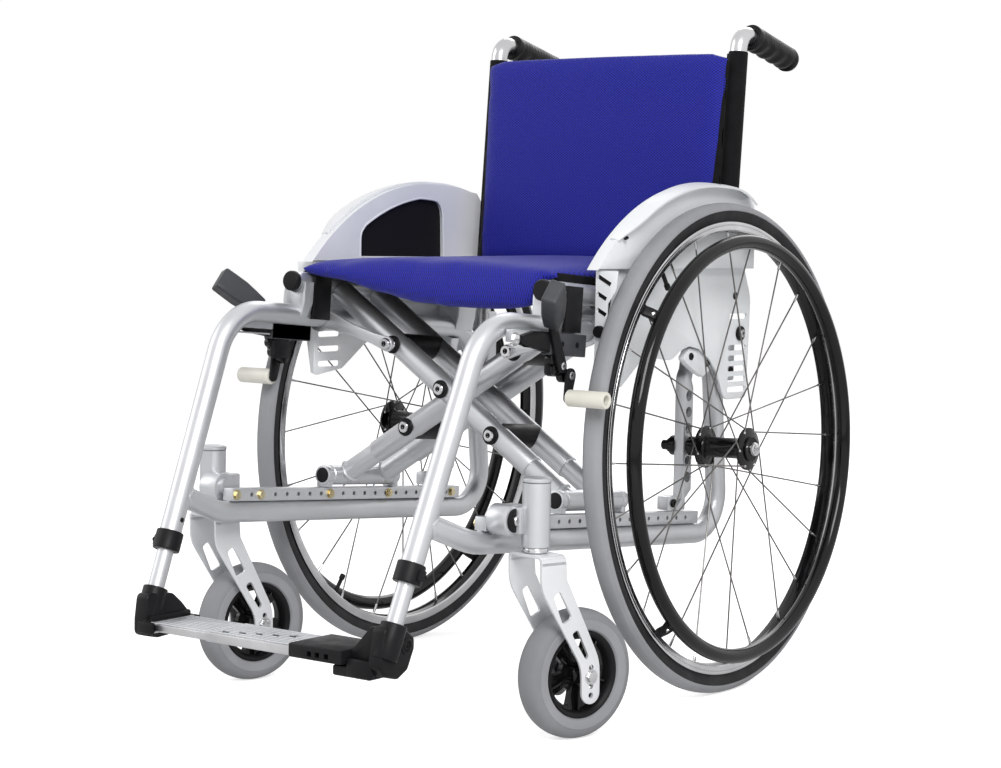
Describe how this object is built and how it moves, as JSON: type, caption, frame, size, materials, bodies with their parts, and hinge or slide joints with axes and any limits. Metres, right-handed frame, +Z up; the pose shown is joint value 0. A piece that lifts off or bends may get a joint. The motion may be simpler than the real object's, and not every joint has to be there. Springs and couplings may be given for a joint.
{
  "type": "folding wheelchair",
  "caption": "Folding self-propelled wheelchair with cross brace, caster forks, push rings, side guards, brakes, blue padded seat and back, and a hinged footboard.",
  "frame": {"origin": "on the floor, midway between the footrest's front and the back of the rear tyres, midway between the wheels", "axes": "+Z up, +X to the chair's own left, -Y the way it faces"},
  "size_m": [0.5784, 0.8806, 0.8197],
  "materials": {
    "frame_paint": "satin silver",
    "bare_metal": "polished",
    "black_plastic": "satin",
    "grey_plastic": "fine texture",
    "tyre": "matte",
    "push_ring": "gloss black",
    "guard": "satin",
    "roller": "smooth",
    "blue_mesh": "woven mesh",
    "footplate": "ribbed, satin"
  },
  "bodies": {
    "right_side": {"right_side_frame": "frame_paint", "right_hole_rail": "frame_paint", "right_axle_plate": "frame_paint", "right_wheel_axle": "bare_metal", "right_pivot_pin": "black_plastic", "right_caster_housing": "frame_paint", "right_leg_tube": "bare_metal", "right_height_clamp": "black_plastic", "right_foot_casting": "black_plastic", "right_seat_cradle": "black_plastic", "right_back_post": "bare_metal", "right_push_grip": "black_plastic", "right_fender": "guard", "right_guard_panel": "guard", "right_brake_mount": "grey_plastic", "back_upholstery": "blue_mesh"},
    "right_wheel": {"right_tyre": "tyre", "right_rim": "bare_metal", "right_hub": "black_plastic", "right_handrim": "push_ring"},
    "right_caster": {"right_caster_fork": "frame_paint"},
    "right_caster_wheel": {"right_caster_tyre": "tyre", "right_caster_rim": "black_plastic"},
    "right_brake_handle": {"right_brake_lever": "grey_plastic"},
    "right_brake_shoe": {"right_brake_arm": "grey_plastic", "right_brake_roller": "roller"},
    "right_guide_link": {"right_link": "frame_paint"},
    "left_side": {"left_side_frame": "frame_paint", "left_hole_rail": "frame_paint", "left_axle_plate": "frame_paint", "left_wheel_axle": "bare_metal", "left_pivot_pin": "black_plastic", "left_caster_housing": "frame_paint", "left_leg_tube": "bare_metal", "left_height_clamp": "black_plastic", "left_foot_casting": "black_plastic", "left_seat_cradle": "black_plastic", "left_back_post": "bare_metal", "left_push_grip": "black_plastic", "left_fender": "guard", "left_guard_panel": "guard", "left_brake_mount": "grey_plastic"},
    "left_wheel": {"left_tyre": "tyre", "left_rim": "bare_metal", "left_hub": "black_plastic", "left_handrim": "push_ring"},
    "left_caster": {"left_caster_fork": "frame_paint"},
    "left_caster_wheel": {"left_caster_tyre": "tyre", "left_caster_rim": "black_plastic"},
    "left_brake_handle": {"left_brake_lever": "grey_plastic"},
    "left_brake_shoe": {"left_brake_arm": "grey_plastic", "left_brake_roller": "roller"},
    "left_guide_link": {"left_link": "frame_paint"},
    "right_leaf": {"right_cross_arm": "frame_paint", "left_seat_rail": "frame_paint", "centre_bolt": "bare_metal"},
    "left_leaf": {"left_cross_arm": "frame_paint", "right_seat_rail": "frame_paint", "seat_cushion": "blue_mesh"},
    "foot_plate": {"footboard": "footplate"}
  },
  "joints": [
    {"name": "fold", "type": "hinge", "parent": "right_side", "child": "right_leaf", "pos_m": [-0.182, 0.13886, 0.23018], "axis": [0, -0.9973, 0.0736], "range_deg": [0, 42], "deforming": ["seat_cushion", "back_upholstery"]},
    {"name": "leaf_cross", "type": "hinge", "parent": "right_leaf", "child": "left_leaf", "pos_m": [0, 0.14743, 0.34636], "axis": [0, -0.9973, 0.0736], "range_deg": [-84, 0]},
    {"name": "left_side_fold", "type": "hinge", "parent": "left_leaf", "child": "left_side", "pos_m": [0.182, 0.13886, 0.23018], "axis": [0, -0.9973, 0.0736], "range_deg": [0, 42]},
    {"name": "foot_plate_flip", "type": "hinge", "parent": "right_side", "child": "foot_plate", "pos_m": [-0.1475, 0.14375, 0.105], "axis": [0, -1, 0], "range_deg": [0, 90]},
    {"name": "right_link_turn", "type": "hinge", "parent": "right_side", "child": "right_guide_link", "pos_m": [-0.186, 0.15321, 0.42465], "axis": [0, -0.9973, 0.0736], "range_deg": [0, 84.42]},
    {"name": "left_link_turn", "type": "hinge", "parent": "left_side", "child": "left_guide_link", "pos_m": [0.186, 0.15321, 0.42465], "axis": [0, -0.9973, 0.0736], "range_deg": [-84.42, 0]},
    {"name": "right_wheel_spin", "type": "hinge", "parent": "right_side", "child": "right_wheel", "pos_m": [-0.2436, 0.14375, 0.29651], "axis": [-0.9996, 0, 0.0265], "continuous": true},
    {"name": "right_caster_swivel", "type": "hinge", "parent": "right_side", "child": "right_caster", "pos_m": [-0.2387, -0.24325, 0], "axis": [0, 0, 1], "continuous": true},
    {"name": "right_caster_spin", "type": "hinge", "parent": "right_caster", "child": "right_caster_wheel", "pos_m": [-0.22555, -0.18676, 0.0719], "axis": [0.974, -0.2267, 0], "continuous": true},
    {"name": "right_brake_lever_pull", "type": "hinge", "parent": "right_side", "child": "right_brake_handle", "pos_m": [-0.2125, -0.16606, 0.40559], "axis": [-1, 0, 0], "range_deg": [0, 45]},
    {"name": "right_brake_shoe_close", "type": "hinge", "parent": "right_side", "child": "right_brake_shoe", "pos_m": [-0.2125, -0.15483, 0.39474], "axis": [-1, 0, 0], "range_deg": [-11, 0]},
    {"name": "left_wheel_spin", "type": "hinge", "parent": "left_side", "child": "left_wheel", "pos_m": [0.2436, 0.14375, 0.29651], "axis": [0.9996, 0, 0.0265], "continuous": true},
    {"name": "left_caster_swivel", "type": "hinge", "parent": "left_side", "child": "left_caster", "pos_m": [0.2387, -0.24325, 0], "axis": [0, 0, 1], "continuous": true},
    {"name": "left_caster_spin", "type": "hinge", "parent": "left_caster", "child": "left_caster_wheel", "pos_m": [0.25449, -0.18744, 0.0719], "axis": [0.9622, -0.2723, 0], "continuous": true},
    {"name": "left_brake_lever_pull", "type": "hinge", "parent": "left_side", "child": "left_brake_handle", "pos_m": [0.2125, -0.16606, 0.40559], "axis": [-1, 0, 0], "range_deg": [0, 45]},
    {"name": "left_brake_shoe_close", "type": "hinge", "parent": "left_side", "child": "left_brake_shoe", "pos_m": [0.2125, -0.15483, 0.39474], "axis": [-1, 0, 0], "range_deg": [-11, 0]}
  ],
  "couplings": [
    {"joint": "leaf_cross", "follows": "fold", "ratio": -2},
    {"joint": "left_side_fold", "follows": "fold", "ratio": 1},
    {"joint": "foot_plate_flip", "follows": "fold", "ratio": 2.1428},
    {"joint": "right_link_turn", "follows": "fold", "ratio": 2.01},
    {"joint": "left_link_turn", "follows": "fold", "ratio": -2.01},
    {"joint": "right_brake_shoe_close", "follows": "right_brake_lever_pull", "ratio": -0.24},
    {"joint": "left_brake_shoe_close", "follows": "left_brake_lever_pull", "ratio": -0.24}
  ]
}
